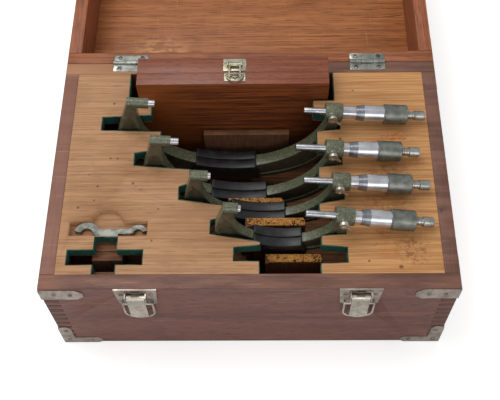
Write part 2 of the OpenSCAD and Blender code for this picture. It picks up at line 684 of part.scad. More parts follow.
module latch_lever_left() latch_lever(latch_x[0]);
module latch_lever_right() latch_lever(latch_x[1]);
// The bail turns in the lever on two inward pins; its lower corners are round
bail_corner = 9.5;
bail_arm = bail_l - bail_corner;
module latch_bail(x)
  color(nickel) translate([x, bail_y, bail_z]) {
    for (s = [-1, 1]) {
      along_x_at(s > 0 ? lever_w / 2 - 2.6 : -bail_half, s > 0 ? bail_half : -lever_w / 2 + 2.6, wire_r);
      translate([s * bail_half, 0, 0]) sphere(r = wire_r);
      translate([s * bail_half, 0, -bail_arm]) cylinder(h = bail_arm, r = wire_r);
    }
    for (m = [0, 1]) mirror([m, 0, 0]) translate([bail_half - bail_corner, 0, -bail_arm])
      rotate([90, 90, 0]) rotate_extrude(angle = 90) translate([bail_corner, 0]) circle(r = wire_r);
    along_x_low();
  }
module along_x_low()
  translate([0, 0, -bail_l]) along_x_at(bail_corner - bail_half - e, bail_half - bail_corner + e, wire_r);
module latch_bail_left() latch_bail(latch_x[0]);
module latch_bail_right() latch_bail(latch_x[1]);

// Box of setting standards, standing on its hinge edge at the back of the well
std_z1 = rim_z + std_proud;
std_z0 = std_z1 - std_h;
std_seam = std_y0 + std_front_t;
standard_l = [125, 100, 75, 50, 25];
standard_pitch = 20;
rod_x = std_x - std_w / 2 + std_wall + 8;
module rods(r, grow)
  for (k = [0:4])
    translate([0, std_seam, std_z0 + std_wall + 16 + k * standard_pitch])
      along_x_at(rod_x - grow, rod_x + standard_l[k] + grow, r);
module standards_tray()
  color(wood_box) difference() {
    slab(std_x - std_w / 2, std_x + std_w / 2, std_y0, std_seam, std_z0, std_z1);
    rods(standard_r + 0.2, 0.3);
  }
module standards_lid()
  color(wood_box) difference() {
    slab(std_x - std_w / 2, std_x + std_w / 2, std_seam, std_back, std_z0, std_z1);
    rods(standard_r + 0.2, 0.3);
  }
module setting_standards()
  color(steel) rods(standard_r, 0);
// Catch on the top edge: a plate on each half, the back one with ears for the loop
catch_x = std_x + 2;
loop_r = 1;
loop_y = std_seam + 7;
loop_z = std_z1 + 3.2;
module standards_catch()
  color(nickel) {
    slab(catch_x - 11, catch_x + 11, std_seam + 1.5, std_back - 2, std_z1, std_z1 + 0.8);
    for (s = [-1, 1])
      slab(catch_x + s * 6.6 - 0.6, catch_x + s * 6.6 + 0.6, loop_y - 2, loop_y + 5, std_z1 + 0.8 - e,
        loop_z + 2);
    translate([0, loop_y, loop_z]) along_x_at(catch_x - 6.6, catch_x + 6.6, loop_r);
    slab(catch_x - 10, catch_x + 10, std_y0 + 3, std_seam - 1.5, std_z1, std_z1 + 0.8);
    translate([catch_x, std_seam - 4.4, std_z1 + 0.8 - e]) cylinder(h = 1.4, r = 3);
    for (s = [-1, 1]) translate([catch_x + s * 9, std_back - 6, std_z1 + 0.8 - e]) cylinder(h = 0.6, r = 1.4);
  }
module standards_loop()
  color(nickel) difference() {
    union() {
      translate([0, loop_y, loop_z]) along_x_at(catch_x - 5.8, catch_x + 5.8, loop_r + 1.1);
      for (s = [-1, 1])
        slab(catch_x + s * 5 - 0.8, catch_x + s * 5 + 0.8, std_y0 + 5, loop_y, loop_z - 0.7, loop_z + 0.7);
      translate([catch_x, std_y0 + 9.4, loop_z]) rotate([0, 0, 180])
        rotate_extrude(angle = 180) translate([8, 0]) circle(r = 0.9);
      slab(catch_x - 9, catch_x + 9, std_y0 + 8.8, std_y0 + 10.2, loop_z - 0.7, loop_z + 0.7);
    }
    translate([0, loop_y, loop_z]) along_x_at(catch_x - 10, catch_x + 10, loop_r + pivot_gap);
  }

// Hook spanner in its pocket: a flat bar with a large hook at the left and a small one at the right
spanner_t = 4;
spanner_z = deck_z - pocket_depth + 0.1;
spanner_x = pocket_x + 1.6;
spanner_y = pocket_y - 3.1;
bar_w = 7.1;
bar_thin = 4.6;
bar_step = 7.4;
large_x = -20.4;
large_y = -1.5;
large_out = 11.6;
large_in = 5.8;
small_hook_x = 24.9;
small_hook_y = -0.6;
small_out = 8.2;
small_in = 4;
module hook(r_out, r_in, a0, a1)
  intersection() {
    difference() {
      cylinder(h = spanner_t, r = r_out);
      translate([0, 0, -1]) cylinder(h = spanner_t + 2, r = r_in);
    }
    linear_extrude(spanner_t) polygon(concat([[0, 0]],
      [for (a = arc_steps(a0, a1, 8)) 2 * r_out * [cos(a), sin(a)]]));
  }
module hook_spanner()
  color(steel) translate([spanner_x, spanner_y, spanner_z]) union() {
    difference() {
      slab(large_x + large_in + 1.6, bar_step, -bar_w / 2, bar_w / 2, 0, spanner_t);
      translate([large_x, large_y, -1]) cylinder(h = spanner_t + 2, r = (large_in + large_out) / 2);
    }
    slab(bar_step - 1.4, small_hook_x - small_in - 1.7, bar_w / 2 - bar_thin, bar_w / 2, 0, spanner_t);
    translate([large_x, large_y, 0]) hook(large_out, large_in, -8, 162);
    translate([small_hook_x, small_hook_y, 0]) hook(small_out, small_in, 18, 176);
  }

// Micrometers
module mic_frame(i)
  color(enamel) at_mic(i) difference() {
    union() {
      difference() {
        mic_plate(concat(
          [[anvil_boss_l[i], 0]],
          [for (a = arc_steps(180, 0, 40)) outer(i, a)],
          [[outer_r[i], 0]],
          [for (a = arc_steps(0, 180, 44)) throat(i, a)],
          [[bow_x[i] - throat_l[i], 0]]), -frame_t[i] / 2, frame_t[i] / 2);
        for (s = [-1, 1]) limb_taper(i, s);
      }
      along_x_at(anvil_boss_l[i], -anvil_l[i], anvil_r);
      along_x_at(boss_start[i], boss_end[i], boss_r);
      translate([lock_s(i), 0, lock_z]) rotate([90, 0, 0]) cylinder(h = boss_r + 0.1, r = lock_r + 0.3);
    }
    along_x_at(boss_start[i] - 1, boss_end[i] + 1, spindle_r + 0.1);
    slab(boss_start[i] - 8, boss_start[i], -boss_r, boss_r, -boss_r * 0.42, boss_r);
    translate([lock_s(i), -4, lock_z]) rotate([90, 0, 0]) cylinder(h = boss_r, r = 2.2);
    for (s = [-1, 1]) {
      recess(i, throat_angle(i, cover_r[i] + 2), 14, s);
      left_recess(i, throat_angle(i, cover_l[i] - 2), s);
    }
  }
lock_z = 2;
function lock_s(i) = boss_start[i] + boss_l / 2 - 1.3;
// The anvil limb thins towards its boss
module limb_taper(i, s)
  translate([outer_l[i] - 1, 0, 0]) rotate([90, 0, 90]) linear_extrude(bow_x[i] - throat_l[i] + 4 - outer_l[i])
    polygon([[s * (anvil_r - 0.4), 1], [s * (frame_t[i] / 2 + 1), 1], [s * (frame_t[i] / 2 + 1), -taper_h],
      [s * frame_t[i] / 2, -taper_h], [s * (anvil_r - 0.4), -1]]);
// A sunk panel between two angles of the bow, on the front face for s -1 and the back for s 1
module recess(i, a0, a1, s) {
  y0 = s * (frame_t[i] / 2 - recess_depth);
  y1 = s * (frame_t[i] / 2 + 1);
  mic_plate(concat(
    [for (a = arc_steps(a0, a1, 14)) throat(i, a, edge_rim[i])],
    [for (a = arc_steps(a1, a0, 14)) outer(i, a, -edge_rim[i])]), min(y0, y1), max(y0, y1));
}
// The sunk panel of the anvil limb ends in an arch below the boss
module left_recess(i, a0, s) {
  y0 = s * (frame_t[i] / 2 - recess_depth);
  y1 = s * (frame_t[i] / 2 + 1);
  a1 = 180 - asin(pow((throat_z - arch_z) / (throat_d[i] + left_rim), 1 / 0.88));
  right = throat(i, a1, left_rim)[0];
  left = anvil_boss_l[i] + (outer_l[i] - anvil_boss_l[i]) * arch_z / outer_z[i] + left_rim;
  mic_plate(concat(
    [for (a = arc_steps(a0, a1, 14)) throat(i, a, left_rim)],
    [for (a = arc_steps(15, 165, 10)) [(right + left) / 2 + (right - left) / 2 * cos(a),
      arch_z + arch_h * sin(a)]],
    [[left, arch_z]],
    [for (a = arc_steps(180, a0, 14)) outer(i, a, -left_rim)]), min(y0, y1), max(y0, y1));
}
module mic_covers(i)
  color(black_plastic) at_mic(i) difference() {
    mic_plate(cover_outline(i, -cover_lip, bow_h[i] - 3), -cover_y[i], cover_y[i]);
    mic_plate(cover_outline(i, -cover_fit, bow_h[i] + 4, 6), -frame_t[i] / 2, frame_t[i] / 2);
    mic_plate(cover_outline(i, -cover_lip - 2, bow_h[i], 6), -cover_seam / 2, cover_seam / 2);
  }
function cover_outline(i, g0, g1, more = 0) = let (
    a0 = throat_angle(i, cover_r[i] + more), a1 = throat_angle(i, cover_l[i] - more))
  concat([for (a = arc_steps(a0, a1, 16)) throat(i, a, g0)],
    [for (a = arc_steps(a1, a0, 16)) throat(i, a, g1)]);
// Anvil pin and graduated sleeve, both fixed to the frame
sleeve_l = thimble_l - 4;
module mic_sleeve(i)
  color(steel) at_mic(i) {
    along_x_at(-anvil_l[i], 0, spindle_r);
    difference() {
      along_x_at(boss_end[i], boss_end[i] + sleeve_l, sleeve_r);
      along_x_at(boss_end[i] - 1, boss_end[i] + sleeve_l + 1, spindle_r + 0.4);
    }
  }
thimble_wall = 2.4;
spigot_r = 2;
spigot_l = 1.6;
module mic_spindle(i)
  color(steel) at_mic(i)
    along_x_at(mic_gap[i], mic_gap[i] + thimble_off + thimble_l - thimble_wall - 0.2, spindle_r);
module mic_thimble(i)
  color(steel) at_mic(i) translate([mic_gap[i] + thimble_off, 0, 0]) difference() {
    union() {
      along_x(0, bevel_l, sleeve_r + 0.5, thimble_r);
      along_x_at(bevel_l, bevel_l + plain_l, thimble_r);
      along_x_at(bevel_l + plain_l, thimble_l - 0.6, knurl_r);
      along_x(thimble_l - 0.6, thimble_l, knurl_r, knurl_r - 0.6);
    }
    along_x_at(-1, thimble_l - thimble_wall, sleeve_r + 0.2);
    along_x_at(thimble_l - thimble_wall - 1, thimble_l + 1, spigot_r + 0.2);
  }
ratchet_gap = 0.2;
module mic_ratchet(i)
  color(steel) at_mic(i) translate([mic_gap[i] + thimble_off + thimble_l + ratchet_gap, 0, 0]) {
    along_x_at(-spigot_l - ratchet_gap, 0, spigot_r);
    along_x_at(0, neck_l, ratchet_r - 1);
    along_x_at(neck_l, neck_l + knob_l - 1, ratchet_r);
    along_x(neck_l + knob_l - 1, neck_l + knob_l, ratchet_r, ratchet_r - 0.8);
  }
lock_h = 3.2;
module mic_lock(i)
  color(nickel) at_mic(i) translate([lock_s(i), -boss_r - 0.3, lock_z]) {
    difference() {
      rotate([90, 0, 0]) cylinder(h = lock_h, r = lock_r);
      translate([0, -lock_h + 1.2, 0]) rotate([90, 0, 0]) cylinder(h = lock_h, r = lock_r - 1.4);
    }
    translate([0, 4.2, 0]) rotate([90, 0, 0]) cylinder(h = 4.3, r = 2);
    translate([0, -lock_h / 2, 0]) rotate([0, 45, 0])
      along_x(lock_r - 0.6, lock_lever_l, 1.4, 1.1);
  }

front_board();
back_board();
left_board();
right_board();
base_panel();
deck_boards();
wood_supports();
cork_pads();
felt_lining();
base_corner_brackets();
base_hinge_leaves();
latch_plates();
base_screws();
lid_front_rail();
lid_back_rail();
lid_left_rail();
lid_right_rail();
lid_panel();
lid_corner_brackets();
lid_hinge_leaves();
lid_catch_plates();
lid_screws();
latch_lever_left();
latch_lever_right();
latch_bail_left();
latch_bail_right();
standards_tray();
standards_lid();
setting_standards();
standards_catch();
standards_loop();
hook_spanner();
for (i = [0:3]) {
  mic_frame(i);
  mic_covers(i);
  mic_sleeve(i);
  mic_spindle(i);
  mic_thimble(i);
  mic_ratchet(i);
  mic_lock(i);
}
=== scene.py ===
import bpy
import bmesh
import json
import math
from mathutils import Matrix, Vector


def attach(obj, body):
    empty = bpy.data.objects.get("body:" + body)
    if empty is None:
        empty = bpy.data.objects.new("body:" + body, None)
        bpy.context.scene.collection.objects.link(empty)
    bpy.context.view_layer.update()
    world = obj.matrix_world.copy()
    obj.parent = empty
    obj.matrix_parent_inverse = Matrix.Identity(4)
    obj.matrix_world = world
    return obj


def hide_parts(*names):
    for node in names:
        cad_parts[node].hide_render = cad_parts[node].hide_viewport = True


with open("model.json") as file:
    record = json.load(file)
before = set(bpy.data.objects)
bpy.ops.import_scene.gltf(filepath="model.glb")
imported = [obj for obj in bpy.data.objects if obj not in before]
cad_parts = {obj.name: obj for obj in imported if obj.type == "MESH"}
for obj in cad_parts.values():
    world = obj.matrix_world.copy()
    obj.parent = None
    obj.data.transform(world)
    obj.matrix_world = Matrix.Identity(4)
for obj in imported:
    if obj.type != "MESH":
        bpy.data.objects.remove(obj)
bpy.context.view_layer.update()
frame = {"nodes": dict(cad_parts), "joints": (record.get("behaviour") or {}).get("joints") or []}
node = frame["nodes"]
scene = bpy.context.scene
scene.view_settings.view_transform = "Standard"

# --- Camera -----------------------------------------------------------------------------
# The photograph is taken from above the front edge, a little right of the middle. Its place and
# lens were solved on the corners of the case.

eye = Vector((0.01404, -0.5454, 0.8048))
look_down, lean, swing = math.radians(60.19), math.radians(2.0), math.radians(1.94)
lens_mm, sensor_mm = 63.08, 36
nearest, farthest = 0.01, 20


def photographers_axes():
    ahead = Vector((0, math.cos(look_down), -math.sin(look_down)))
    level_up = Vector((0, math.sin(look_down), math.cos(look_down)))
    level_right = Vector((1, 0, 0))
    right = math.cos(lean) * level_right - math.sin(lean) * level_up
    up = math.sin(lean) * level_right + math.cos(lean) * level_up
    turn = Matrix.Rotation(swing, 3, "Z")
    return turn @ right, turn @ up, turn @ ahead


camera_data = bpy.data.cameras.new("view")
camera_data.lens = lens_mm
camera_data.sensor_width = sensor_mm
camera_data.clip_start = nearest
camera_data.clip_end = farthest
camera = bpy.data.objects.new("view", camera_data)
scene.collection.objects.link(camera)
right, up, ahead = photographers_axes()
camera.matrix_world = Matrix.Translation(eye) @ Matrix((right, up, -ahead)).transposed().to_4x4()
scene.camera = camera
bpy.ops.object.select_all(action="DESELECT")

# --- Boards of the case -----------------------------------------------------------------
# Four boards of close-grained reddish hardwood, 13 to 14 mm thick, finger jointed at the corners,
# oiled and darkened by hands. The long boards show face grain in front and end grain in their fingers.

MM = 0.001
per_metre = 1000
weld = 2e-6
flat_join = math.radians(0.4)
sharp_edge = math.radians(28)
rim_bottom, rim_top = 123.6, 124.4


def tint(code):
    """A colour written #rrggbb as the linear numbers the shaders want"""
    parts = [int(code[k:k + 2], 16) / 255 for k in (1, 3, 5)]
    return [p / 12.92 if p <= 0.04045 else ((p + 0.055) / 1.055) ** 2.4 for p in parts] + [1.0]


class Finish:
    """A surface made of layers, each a pattern in millimetres on the piece's own coordinates"""

    def __init__(self, name, rough=0.5, metal=0.0, coat=0.0, coat_rough=0.3, shine=0.5):
        self.material = bpy.data.materials.new(name)
        self.material.use_nodes = True
        self.tree = self.material.node_tree
        self.shader = self.tree.nodes["Principled BSDF"]
        self.shader.inputs["Roughness"].default_value = rough
        self.shader.inputs["Metallic"].default_value = metal
        self.shader.inputs["Coat Weight"].default_value = coat
        self.shader.inputs["Coat Roughness"].default_value = coat_rough
        self.shader.inputs["Specular IOR Level"].default_value = shine
        self.where = self.tree.nodes.new("ShaderNodeTexCoord")
        self.relief = None

    def add(self, kind, **settings):
        made = self.tree.nodes.new("ShaderNode" + kind)
        for key, value in settings.items():
            setattr(made, key, value)
        return made

    def feed(self, socket, value):
        if isinstance(value, str):
            socket.default_value = tint(value)
        elif isinstance(value, bpy.types.NodeSocket):
            self.tree.links.new(value, socket)
        elif value is not None:
            socket.default_value = value

    def scaled(self, size, shift=(0, 0, 0), turn=(0, 0, 0)):
        """Coordinates in which one unit is that many millimetres along x, y and z"""
        place = self.add("Mapping")
        place.inputs["Scale"].default_value = [per_metre / s for s in size]
        place.inputs["Rotation"].default_value = [math.radians(a) for a in turn]
        place.inputs["Location"].default_value = shift
        self.feed(place.inputs["Vector"], self.where.outputs["Object"])
        return place.outputs["Vector"]

    def spots(self, size, detail=3.0, rough=0.55, shift=(0, 0, 0), turn=(0, 0, 0), warp=0.0):
        pattern = self.add("TexNoise")
        self.feed(pattern.inputs["Vector"], self.scaled(size, shift, turn))
        pattern.inputs["Scale"].default_value = 1.0
        pattern.inputs["Detail"].default_value = detail
        pattern.inputs["Roughness"].default_value = rough
        pattern.inputs["Distortion"].default_value = warp
        return pattern.outputs["Fac"]

    def cells(self, size, feature="F1", output="Distance", shift=(0, 0, 0)):
        pattern = self.add("TexVoronoi", feature=feature)
        self.feed(pattern.inputs["Vector"], self.scaled(size, shift))
        pattern.inputs["Scale"].default_value = 1.0
        pattern.inputs["Randomness"].default_value = 1.0
        return pattern.outputs[output]

    def rings(self, size, warp, axis):
        """Growth rings: one saw-toothed band for each unit of size across the axis"""
        pattern = self.add("TexWave", wave_type="BANDS", bands_direction=axis, wave_profile="SAW")
        self.feed(pattern.inputs["Vector"], self.scaled(size))
        pattern.inputs["Scale"].default_value = 0.314
        pattern.inputs["Distortion"].default_value = warp
        pattern.inputs["Detail"].default_value = 2.0
        pattern.inputs["Detail Scale"].default_value = 0.6
        return pattern.outputs["Fac"]

    def level(self, value, low, high, start=0.0, end=1.0):
        change = self.add("MapRange", interpolation_type="SMOOTHSTEP")
        self.feed(change.inputs["Value"], value)
        for key, number in zip(("From Min", "From Max", "To Min", "To Max"), (low, high, start, end)):
            change.inputs[key].default_value = number
        return change.outputs["Result"]

    def calc(self, operation, *values):
        sums = self.add("Math", operation=operation)
        for socket, value in zip(sums.inputs, values):
            self.feed(socket, value)
        return sums.outputs[0]

    def blend(self, amount, under, over, mode="MIX"):
        mixed = self.add("Mix", data_type="RGBA", blend_type=mode)
        self.feed(mixed.inputs["Factor"], amount)
        self.feed(mixed.inputs[6], under)
        self.feed(mixed.inputs[7], over)
        return mixed.outputs[2]

    def facing(self, axis, low=0.6, high=0.8):
        """1 where the surface faces along an axis of the piece, either way"""
        return self.level(self.calc("ABSOLUTE", self.part("Normal", axis)), low, high)

    def coordinate(self, axis):
        """Place along an axis of the case, in millimetres"""
        return self.calc("MULTIPLY", self.part("Object", axis), per_metre)

    def part(self, source, axis):
        split = self.add("SeparateXYZ")
        self.feed(split.inputs[0], self.where.outputs[source])
        return split.outputs["xyz".index(axis)]

    def edges(self, radius, low=0.02, high=0.22):
        """1 along the outer and inner edges, where hands and cloths rub"""
        rounded = self.add("Bevel", samples=6)
        rounded.inputs["Radius"].default_value = radius * MM
        plain = self.add("NewGeometry")
        both = self.add("VectorMath", operation="DOT_PRODUCT")
        self.feed(both.inputs[0], rounded.outputs[0])
        self.feed(both.inputs[1], plain.outputs["Normal"])
        return self.level(self.calc("SUBTRACT", 1.0, both.outputs["Value"]), low, high)

    def near(self, x, y, radius):
        """1 at a place seen from above, fading to 0 at a radius in millimetres"""
        gap = self.add("VectorMath", operation="DISTANCE")
        flat = self.add("Mapping")
        flat.inputs["Scale"].default_value = (per_metre, per_metre, 0)
        self.feed(flat.inputs["Vector"], self.where.outputs["Object"])
        self.feed(gap.inputs[0], flat.outputs["Vector"])
        gap.inputs[1].default_value = (x, y, 0)
        return self.level(gap.outputs["Value"], radius, radius * 0.35)

    def raise_by(self, height, depth, strength=1.0):
        bump = self.add("Bump")
        bump.inputs["Distance"].default_value = depth * MM
        bump.inputs["Strength"].default_value = strength
        self.feed(bump.inputs["Height"], height)
        if self.relief is not None:
            self.feed(bump.inputs["Normal"], self.relief)
        self.relief = bump.outputs["Normal"]

    def done(self, colour, rough=None, metal=None):
        self.feed(self.shader.inputs["Base Color"], colour)
        self.feed(self.shader.inputs["Roughness"], rough)
        self.feed(self.shader.inputs["Metallic"], metal)
        if self.relief is not None:
            self.feed(self.shader.inputs["Normal"], self.relief)
        return self.material


def timber(name, pale, deep, pore, grain, streak, dash, dashes, end, bands=0.35, rough=0.5, coat=0.0,
           worn=None, extra=None, dirt=None):
    """Planed wood: broad tone, streaks along the grain, short dark pores, end grain and rubbed edges"""
    f = Finish(name, rough=rough, coat=coat, coat_rough=0.35, shine=0.35)

    def lay(long, across):
        return [long if axis == grain else across for axis in "xyz"]

    tone = f.spots(lay(170, 26), detail=2.0)
    fine = f.spots(lay(*streak), detail=5.0, rough=0.6, warp=0.3)
    colour = f.blend(f.level(fine, 0.34, 0.66), deep, pale)
    colour = f.blend(f.level(tone, 0.35, 0.7, 0.0, 0.35), colour, deep)
    ring = f.rings(lay(95, 7.5), 5.0, "YZ"["xy".index(grain)])
    colour = f.blend(f.level(ring, 0.72, 1.0, 0.0, bands), colour, deep, "MULTIPLY")
    pores = f.level(f.spots(lay(*dash), detail=2.0, rough=0.5), 0.57, 0.68)
    colour = f.blend(f.calc("MULTIPLY", pores, dashes), colour, pore)
    ends = f.facing(grain)
    rays = f.spots(lay(18.0, 1.5), detail=4.0)
    colour = f.blend(f.calc("MULTIPLY", ends, 0.75), colour, f.blend(f.level(rays, 0.4, 0.6), pore, end))
    if dirt:
        dirt_colour, amount = dirt
        colour = f.blend(f.level(f.spots((38, 38, 38), detail=4.0, rough=0.65), 0.5, 0.72, 0.0, amount), colour,
                         dirt_colour)
    if worn:
        worn_colour, radius, amount = worn
        patches = f.level(f.spots((14, 14, 14), detail=3.0), 0.36, 0.6, 0.25, amount)
        rubbed = f.calc("MULTIPLY", f.edges(radius), patches)
        colour = f.blend(rubbed, colour, worn_colour)
    if extra:
        colour = extra(f, colour)
    f.raise_by(f.calc("ADD", f.calc("MULTIPLY", pores, -0.7), fine), 0.12)
    gloss = f.level(fine, 0.3, 0.7, rough - 0.06, rough + 0.1)
    return f.done(colour, rough=gloss)


def chosen(piece):
    """Make a piece the only selected and the active one"""
    bpy.ops.object.select_all(action="DESELECT")
    piece.select_set(True)
    bpy.context.view_layer.objects.active = piece


def dressed(name, width, material, steps=2, least=None):
    """A copy of a CAD piece with its long edges broken by that width in millimetres, or by none"""
    mesh = node[name].data.copy()
    piece = bpy.data.objects.new(name + "_piece", mesh)
    scene.collection.objects.link(piece)
    shape = bmesh.new()
    shape.from_mesh(mesh)
    bmesh.ops.remove_doubles(shape, verts=shape.verts, dist=weld)
    if width:
        bmesh.ops.dissolve_limit(shape, angle_limit=flat_join, verts=shape.verts, edges=shape.edges)
    weight = shape.edges.layers.float.new("bevel_weight_edge")
    longest_left = (least or 2.6 * width) * MM
    too_tight = 1.15 * width * MM
    for edge in shape.edges:
        if not width or len(edge.link_faces) != 2 or edge.calc_length() < longest_left:
            continue
        if edge.calc_face_angle(0) < sharp_edge:
            continue
        if any(other.calc_length() < too_tight for v in edge.verts for other in v.link_edges):
            continue
        edge[weight] = 1.0
    shape.to_mesh(mesh)
    shape.free()
    chosen(piece)
    if width:
        broken = piece.modifiers.new("broken edges", "BEVEL")
        broken.width = width * MM
        broken.segments = steps
        broken.limit_method = "WEIGHT"
        broken.use_clamp_overlap = False
        bpy.ops.object.modifier_apply(modifier=broken.name)
    bpy.ops.object.shade_smooth_by_angle(angle=math.radians(35))
    piece.data.materials.clear()
    piece.data.materials.append(material)
    piece.select_set(False)
    return piece


def settle(piece, body, name):
    """Hang a finished piece on its body, in place of the CAD node of that name"""
    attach(piece, body)
    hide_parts(name)


def case_dirt(f, colour):
    """Handling marks: a greyed rim, redder at the left and paler behind, a burn and fine scratches"""
    rim = f.level(f.coordinate("z"), rim_bottom, rim_top)
    grey = f.blend(f.level(f.spots((70, 9, 9), detail=4.0), 0.35, 0.62), "#5d4237", "#805a4b")
    colour = f.blend(f.calc("MULTIPLY", rim, 0.72), colour, grey)
    left = f.calc("MULTIPLY", rim, f.level(f.coordinate("x"), -150, -172, 0.0, 0.6))
    colour = f.blend(left, colour, "#8f6250")
    back = f.calc("MULTIPLY", rim, f.level(f.coordinate("y"), -17, -12))
    back = f.calc("MULTIPLY", back, f.level(f.coordinate("x"), -98, -108))
    colour = f.blend(f.calc("MULTIPLY", back, 0.75), colour, "#b07f58")
    burn = f.calc("MULTIPLY", f.near(171, -168, 5), f.level(f.spots((4, 4, 4)), 0.4, 0.56, 0.0, 0.7))
    colour = f.blend(burn, colour, "#3d322e")
    lines = f.spots((55, 1.2, 0.7), detail=1.0, rough=0.3, turn=(0, 6, 0), shift=(3, 1, 2))
    scratch = f.level(lines, 0.7, 0.76, 0.0, 0.5)
    return f.blend(scratch, colour, "#b08a7c")


front_wood = timber("front board wood", "#84584b", "#6e463b", "#45292a", "x", streak=(46, 1.5), dash=(9, 0.75),
                    dashes=0.85, bands=0.3, rough=0.5, end="#5a3128", worn=("#4a2a22", 1.6, 0.7),
                    dirt=("#5f3f36", 0.5), extra=case_dirt)
side_wood = timber("side board wood", "#86594a", "#6e4538", "#3c241e", "y", streak=(70, 1.7), dash=(13, 0.8),
                   dashes=0.65, bands=0.3, rough=0.5, end="#54302a", worn=("#4a2c24", 1.6, 0.7),
                   dirt=("#5a3429", 0.5), extra=case_dirt)
for name in ("front_board", "back_board"):
    settle(dressed(name, 0.6, front_wood), "case", name)
for name in ("left_board", "right_board"):
    settle(dressed(name, 0.6, side_wood), "case", name)

# --- Bottom, bearers and rest blocks ----------------------------------------------------
# The bottom is a thin panel. Sawn softwood blocks and bearers stand on it under the deck and under
# the bows, and three of the blocks carry a pad of pressed cork.

bottom_wood = timber("bottom wood", "#9a6b46", "#7a4f31", "#4c301e", "x", streak=(80, 2.2), dash=(18, 1.1), dashes=0.4,
                     rough=0.7, end="#6a452c", dirt=("#3f2d22", 0.6))
settle(dressed("base_panel", 0.4, bottom_wood), "case", "base_panel")


def saw_marks_and_painted_shade(f, colour):
    """Upright lines left by the saw on the faces of the blocks, and painted shade on those upright faces"""
    lines = f.level(f.spots((1.2, 1.2, 26), detail=3.0), 0.45, 0.62, 0.0, 0.55)
    upright = f.calc("SUBTRACT", 1.0, f.facing("z"))
    colour = f.blend(f.calc("MULTIPLY", lines, upright), colour, "#33211a")
    # Painted shade: the upright faces of the blocks are darkened
    shade = f.calc("MULTIPLY", upright, 0.5)
    return f.blend(shade, colour, "#4b2f20")


block_wood = timber("block wood", "#8c5f3f", "#6f472f", "#3d2618", "x", streak=(30, 1.3), dash=(9, 0.8), dashes=0.6,
                    rough=0.75, end="#5c3b25", dirt=("#4b3120", 0.6), worn=("#b98a58", 0.8, 0.6), extra=saw_marks_and_painted_shade)
settle(dressed("wood_supports", 0.4, block_wood), "case", "wood_supports")

cork = Finish("pressed cork", rough=0.85, shine=0.2)
crumbs = cork.cells((1.1, 1.1, 1.1), output="Color")
crumb_tone = cork.add("SeparateXYZ")
cork.feed(crumb_tone.inputs[0], crumbs)
grains = cork.blend(crumb_tone.outputs[0], "#94602f", "#c8914c")
grains = cork.blend(cork.level(crumb_tone.outputs[1], 0.78, 0.86), grains, "#2c180c")
grains = cork.blend(cork.level(cork.spots((0.7, 0.7, 0.7), detail=3.0), 0.56, 0.66, 0.0, 0.7), grains, "#5f3313")
cork.raise_by(cork.cells((1.5, 1.5, 1.5)), 0.3)
cork_stuff = cork.done(grains)
settle(dressed("cork_pads", 0.35, cork_stuff), "case", "cork_pads")

# --- Deck -------------------------------------------------------------------------------
# Thin waxed boards laid along the case just below the rim, with stepped slots sawn through them, a
# milled pocket for the spanner, nail heads, pencil marks and rust and oil stains by the thimbles.


